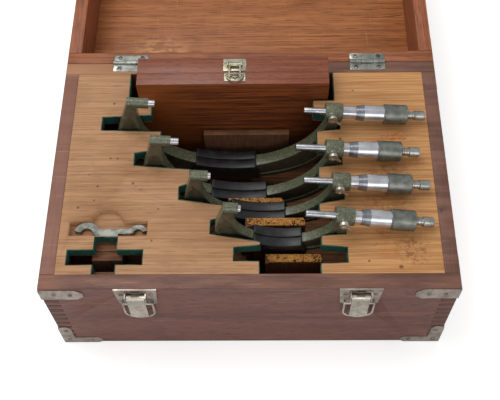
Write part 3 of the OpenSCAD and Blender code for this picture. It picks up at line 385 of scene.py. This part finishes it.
def deck_marks_and_painted_shade(f, colour):
    """Seams between the boards, stains, nail heads and a pencil mark, each at its place, and painted shade on the
    upright faces
    """
    across = f.coordinate("y")
    seams = None
    for y in (-60.5, -83.5, -124.8, -160.5, -197.5):
        near = f.level(f.calc("ABSOLUTE", f.calc("SUBTRACT", across, y)), 0.32, 0.1)
        seams = near if seams is None else f.calc("MAXIMUM", seams, near)
    seams = f.calc("MULTIPLY", seams, f.level(f.spots((24, 60, 60), detail=3.0), 0.42, 0.62, 0.15, 0.75))
    colour = f.blend(seams, colour, "#6b4528")
    warm = f.level(f.coordinate("x"), -10, 120, 0.0, 0.8)
    orange = f.blend(f.level(f.spots((70, 1.8, 5), detail=5.0), 0.34, 0.66), "#a8713f", "#cf9a60")
    colour = f.blend(warm, colour, orange)
    for x, y, radius, code, amount in (
            (131, -95, 17, "#b0541a", 0.85), (118, -99, 9, "#b0541a", 0.7), (141, -88, 9, "#9c4d1c", 0.6),
            (128, -129, 24, "#7d4a24", 0.5), (112, -132, 11, "#8a4f26", 0.5), (119, -163, 25, "#8a5226", 0.5),
            (136, -160, 12, "#8a5226", 0.45), (142, -206, 20, "#8f5a30", 0.9), (118, -188, 10, "#a14e1c", 0.7),
            (122, -205, 15, "#b86a2c", 0.45), (104, -163, 12, "#9a5a2a", 0.4), (150, -118, 14, "#a8682f", 0.5)):
        patch = f.calc("MULTIPLY", f.near(x, y, radius),
                       f.level(f.spots((5, 4, 4), detail=4.0, rough=0.65, shift=(x, y, 0)), 0.44, 0.62, 0.0, amount))
        colour = f.blend(patch, colour, code)
    for x, y, radius, cell, shift, high, low, amount, cloud, code in (
            (125, -105, 46, 4.2, (0, 0, 0), 0.2, 0.1, 0.85, 16, "#6e3412"),
            (128, -196, 34, 4.6, (2, 3, 1), 0.17, 0.09, 0.8, 14, "#7a3a14")):
        dots = f.level(f.cells([cell] * 3, shift=shift), high, low, 0.0, amount)
        specks = f.calc("MULTIPLY", f.near(x, y, radius), dots)
        bunched = f.level(f.spots([cloud] * 3), 0.48, 0.56)
        colour = f.blend(f.calc("MULTIPLY", specks, bunched), colour, code)
    for x, y, radius in ((-128, -110.5, 1.1), (-121.5, -110.8, 1.1), (-105.5, -137.6, 1.3), (-137.4, -140.5, 1.2),
                         (-139.2, -155.2, 0.9), (-153, -162.5, 1.3), (-129.5, -48.5, 1.3), (-85.2, -196, 1.0),
                         (-146, -128, 0.8), (84.5, -90.5, 1.6), (130.5, -222.3, 2.0), (103.5, -216.5, 1.2),
                         (146.6, -170.3, 1.4), (99, -35, 1.0), (-81, -164.5, 0.9), (148, -60, 1.3)):
        colour = f.blend(f.calc("MULTIPLY", f.near(x, y, radius * 1.35), 0.7), colour, "#3a2618")
    pencil = f.level(f.spots((6, 1.2, 3), detail=1.0, shift=(9, 3, 0)), 0.5, 0.6)
    pencil = f.calc("MULTIPLY", f.near(-100.7, -142.4, 5.5), pencil)
    colour = f.blend(f.calc("MULTIPLY", pencil, 0.75), colour, "#4d4650")
    # Painted shade: the upright walls of the slots and pocket are darkened
    upright = f.calc("SUBTRACT", 1.0, f.facing("z"))
    return f.blend(f.calc("MULTIPLY", upright, 0.45), colour, "#7a5230")


deck_wood = timber("deck wood", "#bd9069", "#a47852", "#7c583a", "x", streak=(85, 1.9), dash=(20, 1.0), dashes=0.45,
                   bands=0.18, rough=0.58, end="#8a6038", worn=("#8a6340", 0.8, 0.5), dirt=("#9a7350", 0.5),
                   extra=deck_marks_and_painted_shade)
settle(dressed("deck_boards", 0, deck_wood), "case", "deck_boards")

# --- Felt on the cut edges --------------------------------------------------------------
# Strips of dark green wool felt are glued down the sawn edges of the slots. A painted highlight lightens the
# fibres at the top, and the strips are ragged where they were trimmed.

felt = Finish("green felt", rough=0.95, shine=0.1)
felt.shader.inputs["Sheen Weight"].default_value = 0.25
felt.shader.inputs["Sheen Roughness"].default_value = 0.6
felt.shader.inputs["Sheen Tint"].default_value = tint("#7fc0a0")
fibres = felt.spots((0.7, 0.7, 0.5), detail=4.0, rough=0.75, warp=1.0)
felt_colour = felt.blend(felt.level(fibres, 0.35, 0.68), "#05201c", "#17514a")
worn_thin = felt.level(felt.spots((7, 7, 7), detail=3.0), 0.42, 0.62, 0.0, 0.85)
felt_colour = felt.blend(worn_thin, felt_colour, "#0b1c1a")
# Painted highlight: the felt is lighter near its top edge, where light catches the fibres
upper = felt.level(felt.coordinate("z"), 122.6, 124.2)
painted_highlight_at_top = felt.calc("MULTIPLY", upper, felt.level(felt.spots((12, 12, 12)), 0.4, 0.62))
felt_colour = felt.blend(felt.calc("MULTIPLY", painted_highlight_at_top, 0.45), felt_colour, "#5f8a78")
felt.raise_by(fibres, 0.5)
felt_stuff = felt.done(felt_colour)
settle(dressed("felt_lining", 0.15, felt_stuff, steps=1), "case", "felt_lining")

# --- Corner brackets, straps, hinges, latch plates and screws of the base ---------------
# Pressed steel with nickel plate that has dulled and yellowed. The brackets wrap the corners, the
# straps lie on the rim corners, and the hinge leaves are let into the rim.


def plated(name, pale, dull, spotted, rough=0.34):
    """Old nickel plate: cloudy, spotted with tarnish and bright along its rubbed edges"""
    f = Finish(name, rough=rough, metal=0.85)
    cloud = f.spots((11, 11, 11), detail=5.0, rough=0.65)
    colour = f.blend(f.level(cloud, 0.34, 0.66), dull, pale)
    tarnish = f.level(f.spots((2.6, 2.6, 2.6), detail=4.0, rough=0.7), 0.55, 0.72, 0.0, spotted)
    colour = f.blend(tarnish, colour, "#3b342c")
    colour = f.blend(f.calc("MULTIPLY", f.edges(0.5), 0.55), colour, "#d9d4cc")
    brushed = f.spots((9, 0.25, 9), detail=2.0)
    f.raise_by(brushed, 0.02)
    f.raise_by(f.spots((1.4, 1.4, 1.4), detail=3.0), 0.05)
    return f.done(colour, rough=f.level(cloud, 0.3, 0.7, rough + 0.16, rough - 0.06))


nickel = plated("aged nickel", "#b3a79d", "#8f8379", spotted=0.35)
hinge_nickel = plated("hinge nickel", "#a8aaa2", "#7c7f78", rough=0.32, spotted=0.6)
screw_nickel = plated("screw heads", "#9d9184", "#5d5247", rough=0.36, spotted=0.7)
for name in ("base_corner_brackets", "latch_plates"):
    settle(dressed(name, 0.22, nickel, least=1.6), "case", name)
settle(dressed("base_hinge_leaves", 0.2, hinge_nickel, least=0.8), "case", "base_hinge_leaves")
settle(dressed("base_screws", 0.1, screw_nickel, least=0.3), "case", "base_screws")

# --- Lid --------------------------------------------------------------------------------
# A shallow box of the same wood, finger jointed, laid right back on its hinges. Inside it is lighter
# and more orange, with thin dark grain, a pale rubbed patch and scratches from the tools.


def lid_marks(f, colour):
    """Rubbed patch at the left, scratches and a cool mark left by the box of standards"""
    ragged = f.level(f.spots((13, 6, 9), detail=4.0, rough=0.6), 0.44, 0.6, 0.0, 0.7)
    colour = f.blend(f.calc("MULTIPLY", f.near(-95, 45, 42), ragged), colour, "#cf9560")
    lines = f.spots((1.0, 30, 30), detail=1.0, rough=0.3, turn=(0, 0, 24), shift=(5, 2, 8))
    colour = f.blend(f.level(lines, 0.71, 0.77, 0.0, 0.22), colour, "#d3a274")
    streaks = f.level(f.spots((40, 5, 5), detail=3.0), 0.48, 0.64, 0.0, 0.55)
    mark = f.calc("MULTIPLY", f.near(10, 26, 46), streaks)
    return f.blend(mark, colour, "#8a7648")


lid_panel_wood = timber("lid panel wood", "#b87543", "#95582f", "#5a3018", "x", streak=(90, 1.9), dash=(24, 1.0),
                        dashes=0.8, bands=0.3, rough=0.48, coat=0.15, end="#6a3c22", dirt=("#8a4f2a", 0.6),
                        extra=lid_marks)
rail = dict(streak=(80, 1.7), dash=(18, 0.9), dashes=0.7, bands=0.3, coat=0.1, end="#5a3020",
            worn=("#5c3322", 1.2, 0.6), dirt=("#74402a", 0.6))
lid_long_wood = timber("lid rail wood", "#a9683f", "#86492b", "#4f2a1a", "x", **rail)
lid_side_wood = timber("lid side wood", "#a5623d", "#81462b", "#4c2819", "y", **rail)
settle(dressed("lid_panel", 0.4, lid_panel_wood), "lid", "lid_panel")
for name in ("lid_front_rail", "lid_back_rail"):
    settle(dressed(name, 0.6, lid_long_wood), "lid", name)
for name in ("lid_left_rail", "lid_right_rail"):
    settle(dressed(name, 0.6, lid_side_wood), "lid", name)
for name in ("lid_corner_brackets", "lid_catch_plates"):
    settle(dressed(name, 0.22, nickel, least=1.6), "lid", name)
settle(dressed("lid_hinge_leaves", 0.2, hinge_nickel, least=0.8), "lid", "lid_hinge_leaves")
settle(dressed("lid_screws", 0.1, screw_nickel, least=0.3), "lid", "lid_screws")

# --- Latches ----------------------------------------------------------------------------
# Pressed levers with a pale polished head and a dull tongue, each carrying a bail of bent wire that
# draws the lid down.

lever_metal = plated("latch levers", "#d6cfbd", "#a89f90", rough=0.3, spotted=0.35)
wire_metal = plated("latch wire", "#cfc6bb", "#9c9186", rough=0.28, spotted=0.3)
for side in ("left", "right"):
    settle(dressed("latch_lever_" + side, 0.25, lever_metal, least=0.7), "latch_lever_" + side,
           "latch_lever_" + side)
    settle(dressed("latch_bail_" + side, 0.1, wire_metal, least=9), "latch_bail_" + side,
           "latch_bail_" + side)

# --- Box of setting standards -----------------------------------------------------------
# A varnished box of darker red-brown wood in two halves, standing on its hinge edge at the back of
# the well, with finger joints at its ends and a small spring catch on top.


def box_front_painted_shade(f, colour):
    """Painted shade: the front half is darker and browner than the top, with thin dark streaks, and more amber towards
    the left
    """
    # Painted shade: the faces toward the front and the back take the darker, browner colour
    facing_front = f.facing("y")
    dark = f.blend(f.level(f.spots((85, 3, 2.2), detail=5.0, warp=0.8), 0.34, 0.64), "#5a2a14", "#8a4820")
    dark = f.blend(f.level(f.spots((26, 2, 1.0), detail=2.0), 0.56, 0.66, 0.0, 0.8), dark, "#2c1208")
    colour = f.blend(facing_front, colour, dark)
    amber = f.calc("MULTIPLY", facing_front, f.level(f.coordinate("x"), -40, -112, 0.0, 0.7))
    return f.blend(amber, colour, "#9c5524")


box_wood = timber("standards box wood", "#93502f", "#743a22", "#43190f", "x", streak=(40, 1.3), dash=(8, 0.8),
                  dashes=0.7, bands=0.3, rough=0.4, coat=0.35, end="#4a1f14", worn=("#5a2a1c", 1.0, 0.6),
                  extra=box_front_painted_shade)
for name in ("standards_tray", "standards_lid"):
    settle(dressed(name, 0.5, box_wood), "standards_box", name)
catch_metal = plated("standards catch", "#d8d2bd", "#8f8770", rough=0.22, spotted=0.4)
settle(dressed("standards_catch", 0.15, catch_metal, least=0.7), "standards_box", "standards_catch")
settle(dressed("standards_loop", 0.08, catch_metal, least=9), "standards_loop", "standards_loop")

# --- Steel of the tools -----------------------------------------------------------------
# Ground spindles and setting standards, and a spanner of dull spotted steel. Very fine lines run
# round the turned parts and across the spanner.


def steel(name, pale, dull, rough, lines=(0.35, 40, 40), spotted=0.15):
    """Bare steel: cloudy, with dark spots and fine lines left by the tool"""
    f = Finish(name, rough=rough, metal=1.0)
    cloud = f.spots((8, 8, 8), detail=4.0, rough=0.6)
    colour = f.blend(f.level(cloud, 0.35, 0.65), dull, pale)
    spots = f.level(f.spots((1.8, 1.8, 1.8), detail=4.0, rough=0.7), 0.6, 0.74, 0.0, spotted)
    colour = f.blend(spots, colour, "#5c5444")
    f.raise_by(f.spots(lines, detail=2.0), 0.003)
    return f.done(colour, rough=f.level(cloud, 0.3, 0.7, rough + 0.05, rough - 0.03))


ground = steel("ground spindle", "#b9babd", "#98999c", rough=0.28)
spanner_steel = steel("spanner steel", "#8e8f88", "#6c6d66", rough=0.55, lines=(9, 0.4, 9), spotted=0.4)
settle(dressed("hook_spanner", 0, spanner_steel), "hook_spanner", "hook_spanner")
settle(dressed("setting_standards", 0.3, ground, least=0.4), "standards_box", "setting_standards")

# --- Micrometers ------------------------------------------------------------------------
# Four outside micrometers. A forged frame in hammered green-grey enamel carries black insulating
# covers, the anvil and graduated sleeve, the spindle and thimble, the ratchet and the lock. The
# sleeve, thimble and ratchet are turned afresh, with ruled lines and crossed knurling.

reach = (125, 100, 75, 50)
joint = {row["name"]: row for row in frame["joints"]}
gauge_open = {125: 137.2, 100: 105.2, 75: 82.0, 50: 56.0}
pin_l = {125: 6.0, 100: 7.2, 75: 2.6, 50: 2.6}
to_thimble, from_joint, joint_gap = 48.2, 10, 0.3
spindle_r, sleeve_r, thimble_r, knurl_r, ratchet_r, stem_r = 3.175, 5.9, 7.7, 9.2, 4.5, 2.0
bevel_l, plain_l, knurl_l, neck_l, knob_l, stem_l = 7.2, 18.5, 21.8, 6.9, 9.8, 1.8
thimble_l = bevel_l + plain_l + knurl_l
unrolled_unit = 100
line_dark, tick_dark = "#2d2e31", "#3a3b3e"


def hammertone():
    """Hammered enamel: small puddles and flecks, browner on the flat faces of the frame, which are also darkened by
    painted shade
    """
    f = Finish("hammered enamel", rough=0.36, coat=0.25, coat_rough=0.25)
    puddle = f.cells((1.3, 1.3, 1.3), feature="SMOOTH_F1")
    fleck = f.cells((0.9, 0.9, 0.9), output="Color")
    tone = f.add("SeparateXYZ")
    f.feed(tone.inputs[0], fleck)
    body = f.blend(f.level(puddle, 0.2, 0.6), "#65694f", "#4b4f3c")
    body = f.blend(f.level(tone.outputs[0], 0.74, 0.9, 0.0, 0.5), body, "#878b72")
    body = f.blend(f.level(tone.outputs[1], 0.8, 0.92, 0.0, 0.5), body, "#34372a")
    # The flat faces toward front and back are browner and darker; the darkening is painted shade
    face = f.blend(f.level(f.spots((5, 5, 5), detail=4.0), 0.36, 0.64), "#3c382b", "#4c4837")
    body = f.blend(f.calc("MULTIPLY", f.facing("y", 0.8, 0.95), 0.85), body, face)
    body = f.blend(f.calc("MULTIPLY", f.edges(0.5), 0.35), body, "#8e927c")
    f.raise_by(puddle, 0.1, 0.6)
    return f.done(body, rough=f.level(puddle, 0.2, 0.6, 0.3, 0.42))


def moulded():
    """Black plastic, dusty in patches and paler along its edges"""
    f = Finish("cover plastic", rough=0.42, coat=0.1, shine=0.4)
    dust = f.spots((9, 9, 9), detail=5.0, rough=0.7)
    colour = f.blend(f.level(dust, 0.4, 0.7), "#141417", "#27272b")
    colour = f.blend(f.calc("MULTIPLY", f.edges(0.6), 0.5), colour, "#3c3c42")
    f.raise_by(f.spots((0.5, 0.5, 0.5), detail=3.0), 0.04)
    return f.done(colour, rough=f.level(dust, 0.35, 0.7, 0.36, 0.55))


def chromed(name, origin):
    """Satin chrome, with the distance from an origin in millimetres and the turn round it, 0 to 1"""
    f = Finish(name, rough=0.3, metal=0.9)
    along = f.calc("SUBTRACT", f.calc("MULTIPLY", f.part("UV", "x"), unrolled_unit), origin)
    cloud = f.spots((9, 9, 9), detail=4.0)
    return f, along, f.part("UV", "y"), f.blend(f.level(cloud, 0.35, 0.65), "#c3c4ca", "#d8d9de")


def ruled_sleeve(name, origin):
    """A line along the sleeve with a tick across it at every millimetre"""
    f, along, turn, colour = chromed(name, origin)
    tick = f.level(f.calc("PINGPONG", along, 0.5), 0.14, 0.06)
    aside = f.calc("ABSOLUTE", f.calc("SUBTRACT", turn, 0.36))
    colour = f.blend(f.calc("MULTIPLY", tick, f.level(aside, 0.07, 0.065)), colour, line_dark)
    colour = f.blend(f.level(aside, 0.006, 0.003), colour, line_dark)
    return f.done(colour, rough=0.26)


def ruled_thimble(name, origin):
    """Fifty ticks round a greyer bevel, then a bright plain part and a darker grey-green knurled grip"""
    f, along, turn, colour = chromed(name, origin)
    colour = f.blend(f.level(along, bevel_l + 0.4, bevel_l), colour, "#8b8e95")
    tick = f.level(f.calc("PINGPONG", f.calc("MULTIPLY", turn, 50.0), 0.5), 0.13, 0.05)
    colour = f.blend(f.calc("MULTIPLY", tick, f.level(along, 3.6, 3.4)), colour, tick_dark)
    grip = f.level(along, bevel_l + plain_l - 0.1, bevel_l + plain_l + 0.1)
    # The knurled grip is coloured a darker grey-green
    worn = f.blend(f.level(f.spots((6, 6, 6), detail=4.0), 0.35, 0.65), "#6f736c", "#8a8d85")
    colour = f.blend(grip, colour, worn)
    return f.done(colour, rough=f.calc("ADD", 0.28, f.calc("MULTIPLY", grip, 0.12)))


def spindle_line(size):
    """Coordinates of a micrometer: x along its spindle from the face of the anvil, in millimetres"""
    turning = joint["thimble_turn_%d" % size]
    along = Vector(turning["axis"]).normalized()
    side = Vector((0, 1, 0))
    start = Vector(turning["pos_m"]) / MM - along * (gauge_open[size] + to_thimble + from_joint)
    axes = Matrix((along, side, along.cross(side))).transposed().to_4x4()
    return Matrix.Translation(start * MM) @ axes @ Matrix.Scale(MM, 4)


def ring_round(shape, place, x, r, sides, relief):
    """The points of one ring; relief(x, r, turn) says how far each lies below the radius"""
    ring = []
    for k in range(sides):
        low = relief(x, r, k / sides) if relief else 0.0
        a = 2 * math.pi * k / sides
        ring.append(shape.verts.new(place @ Vector((x, (r - low) * math.cos(a), (r - low) * math.sin(a)))))
    return ring


def turned(name, place, outlines, material, sides=72, relief=None):
    """Closed outlines of (distance, radius) turned round a spindle and unrolled for their lines"""
    mesh = bpy.data.meshes.new(name)
    shape = bmesh.new()
    unrolled = shape.loops.layers.uv.new("unrolled")
    for outline in outlines:
        rings = [(x, ring_round(shape, place, x, r, sides, relief)) for x, r in outline]
        for (x0, one), (x1, two) in zip(rings, rings[1:] + rings[:1]):
            for k in range(sides):
                j = (k + 1) % sides
                face = shape.faces.new((one[k], one[j], two[j], two[k]))
                for loop, x, turn in zip(face.loops, (x0, x0, x1, x1), (k, k + 1, k + 1, k)):
                    loop[unrolled].uv = (x / unrolled_unit, turn / sides)
    bmesh.ops.remove_doubles(shape, verts=shape.verts, dist=weld / 2)
    bmesh.ops.recalc_face_normals(shape, faces=shape.faces)
    shape.to_mesh(mesh)
    shape.free()
    piece = bpy.data.objects.new(name, mesh)
    scene.collection.objects.link(piece)
    mesh.materials.append(material)
    chosen(piece)
    bpy.ops.object.shade_smooth_by_angle(angle=math.radians(32))
    piece.select_set(False)
    return piece


def knurled(first, last, pitch, depth, count):
    """Crossed grooves between two distances, with that many diamonds round the surface"""
    def relief(x, r, turn):
        if not first < x < last or r < ratchet_r - 0.3:
            return 0.0
        u, v = (x - first) / pitch, turn * count
        one, two = abs((u + v) % 1 - 0.5), abs((u - v) % 1 - 0.5)
        return depth * 2 * max(0.0, 0.5 - min(0.5 - one, 0.5 - two) * 3.2)
    return relief


def level_run(first, last, count, r):
    """Points at one radius, close enough together to carry the knurling"""
    return [(first + (last - first) * k / count, r) for k in range(count + 1)]


def turn_sleeve(size):
    """The sleeve, which runs on inside the thimble, and the pin of the anvil"""
    first = size + to_thimble - joint_gap
    end = first + thimble_l - 4
    bore, break_edge = spindle_r + 0.4, 0.2
    tube = [(first, sleeve_r - break_edge), (first + break_edge, sleeve_r), (end - break_edge, sleeve_r),
            (end, sleeve_r - break_edge), (end, bore), (first, bore)]
    pin = [(-pin_l[size], 0.0), (-pin_l[size], spindle_r), (-0.3, spindle_r), (0.0, spindle_r - 0.3), (0.0, 0.0)]
    finish = ruled_sleeve("sleeve scale %d" % size, first)
    return turned("sleeve_%d_piece" % size, spindle_line(size), [tube, pin], finish)


def turn_thimble(size):
    """The thimble: bevel, plain part, a step up to the knurled grip, and a wall with the stem's hole"""
    first = gauge_open[size] + to_thimble
    grip = first + bevel_l + plain_l
    end = first + thimble_l
    bore, wall, hole = sleeve_r + 0.2, 2.4, stem_r + 0.2
    outline = [(first, bore), (first, bore + 0.3), (first + bevel_l, thimble_r - 0.05),
               (first + bevel_l + 0.4, thimble_r), (grip - 0.5, thimble_r), (grip - 0.2, thimble_r - 0.3),
               (grip, thimble_r - 0.3), (grip, knurl_r - 0.5), (grip + 0.5, knurl_r)]
    outline += level_run(grip + 0.8, end - 1.2, 60, knurl_r)
    outline += [(end - 0.9, knurl_r), (end - 0.3, knurl_r - 0.6), (end, knurl_r - 1.0), (end, hole),
                (end - wall, hole), (end - wall, bore)]
    finish = ruled_thimble("thimble scale %d" % size, first)
    return turned("thimble_%d_piece" % size, spindle_line(size), [outline], finish, 176,
                  knurled(grip + 0.7, end - 1.1, 1.5, 0.22, 36))


def turn_ratchet(size):
    """The ratchet: a stem in the thimble, a neck with two grooves and a finely knurled knob"""
    first = gauge_open[size] + to_thimble + thimble_l + 0.2
    neck = ratchet_r - 1
    knob = first + neck_l
    end = knob + knob_l
    outline = [(first - stem_l, 0.0), (first - stem_l, stem_r), (first, stem_r), (first, neck)]
    for groove in (1.7, 4.3):
        outline += [(first + groove, neck), (first + groove + 0.15, neck - 0.5),
                    (first + groove + 0.75, neck - 0.5), (first + groove + 0.9, neck)]
    outline += [(knob, neck), (knob, ratchet_r - 0.4), (knob + 0.4, ratchet_r)]
    outline += level_run(knob + 0.7, end - 1.2, 24, ratchet_r)
    outline += [(end - 0.8, ratchet_r - 0.1), (end, ratchet_r - 0.8), (end, 0.0)]
    return turned("ratchet_%d_piece" % size, spindle_line(size), [outline], grip_steel, 120,
                  knurled(knob + 0.6, end - 1.1, 1.1, 0.16, 20))


enamel = hammertone()
cover_plastic = moulded()
grip_steel = steel("ratchet steel", "#b4b5b2", "#8f918c", rough=0.34)
lock_metal = plated("lock nuts", "#d2cdbf", "#a1998a", rough=0.25, spotted=0.3)
for size in reach:
    tag = "_%d" % size
    settle(dressed("frame" + tag, 0.45, enamel, least=1.0), "micrometer" + tag, "frame" + tag)
    settle(dressed("covers" + tag, 0.7, cover_plastic, least=1.5), "micrometer" + tag,
           "covers" + tag)
    settle(turn_sleeve(size), "micrometer" + tag, "sleeve" + tag)
    settle(dressed("spindle" + tag, 0.3, ground, least=0.3), "spindle" + tag, "spindle" + tag)
    settle(turn_thimble(size), "thimble" + tag, "thimble" + tag)
    settle(turn_ratchet(size), "ratchet" + tag, "ratchet" + tag)
    settle(dressed("lock" + tag, 0.15, lock_metal, least=0.4), "lock" + tag, "lock" + tag)

# --- Floor and light --------------------------------------------------------------------
# A plain white sweep under a broad soft light from above, behind and to the left, and a weaker one
# from in front at the right.

sweep_w, sweep_drop = 12, 0.0002
paint_grey, camera_glow, sky = 0.82, 0.5, 0.5

bpy.ops.mesh.primitive_plane_add(size=sweep_w, location=(0, 0, -sweep_drop))
floor = bpy.context.active_object
floor.name = "floor"
sweep = bpy.data.materials.new("floor white")
sweep.use_nodes = True
tree = sweep.node_tree
paint = tree.nodes["Principled BSDF"]
paint.inputs["Base Color"].default_value = (paint_grey, paint_grey, paint_grey, 1)
paint.inputs["Roughness"].default_value = 0.9
glow = tree.nodes.new("ShaderNodeEmission")
ray = tree.nodes.new("ShaderNodeLightPath")
both = tree.nodes.new("ShaderNodeAddShader")
lift = tree.nodes.new("ShaderNodeMath")
lift.operation = "MULTIPLY"
lift.inputs[1].default_value = camera_glow
tree.links.new(ray.outputs["Is Camera Ray"], lift.inputs[0])
tree.links.new(lift.outputs[0], glow.inputs["Strength"])
tree.links.new(paint.outputs[0], both.inputs[0])
tree.links.new(glow.outputs[0], both.inputs[1])
tree.links.new(both.outputs[0], tree.nodes["Material Output"].inputs["Surface"])
floor.data.materials.append(sweep)

world = bpy.data.worlds.new("studio")
scene.world = world
world.use_nodes = True
background = world.node_tree.nodes["Background"]
background.inputs["Color"].default_value = (1, 1, 1, 1)
background.inputs["Strength"].default_value = sky


def softbox(name, place, aim, size, power):
    """A rectangular lamp that looks at a point"""
    data = bpy.data.lights.new(name, "AREA")
    data.shape = "RECTANGLE"
    data.size, data.size_y = size
    data.energy = power
    lamp = bpy.data.objects.new(name, data)
    scene.collection.objects.link(lamp)
    lamp.location = place
    lamp.rotation_euler = (Vector(aim) - Vector(place)).to_track_quat("-Z", "Y").to_euler()


softbox("overhead box", (-0.5, 0.25, 1.5), (0, -0.05, 0.1), (1.2, 0.9), 12)
softbox("front box", (0.3, -1.5, 1.0), (0, -0.1, 0.1), (1.4, 0.8), 7)
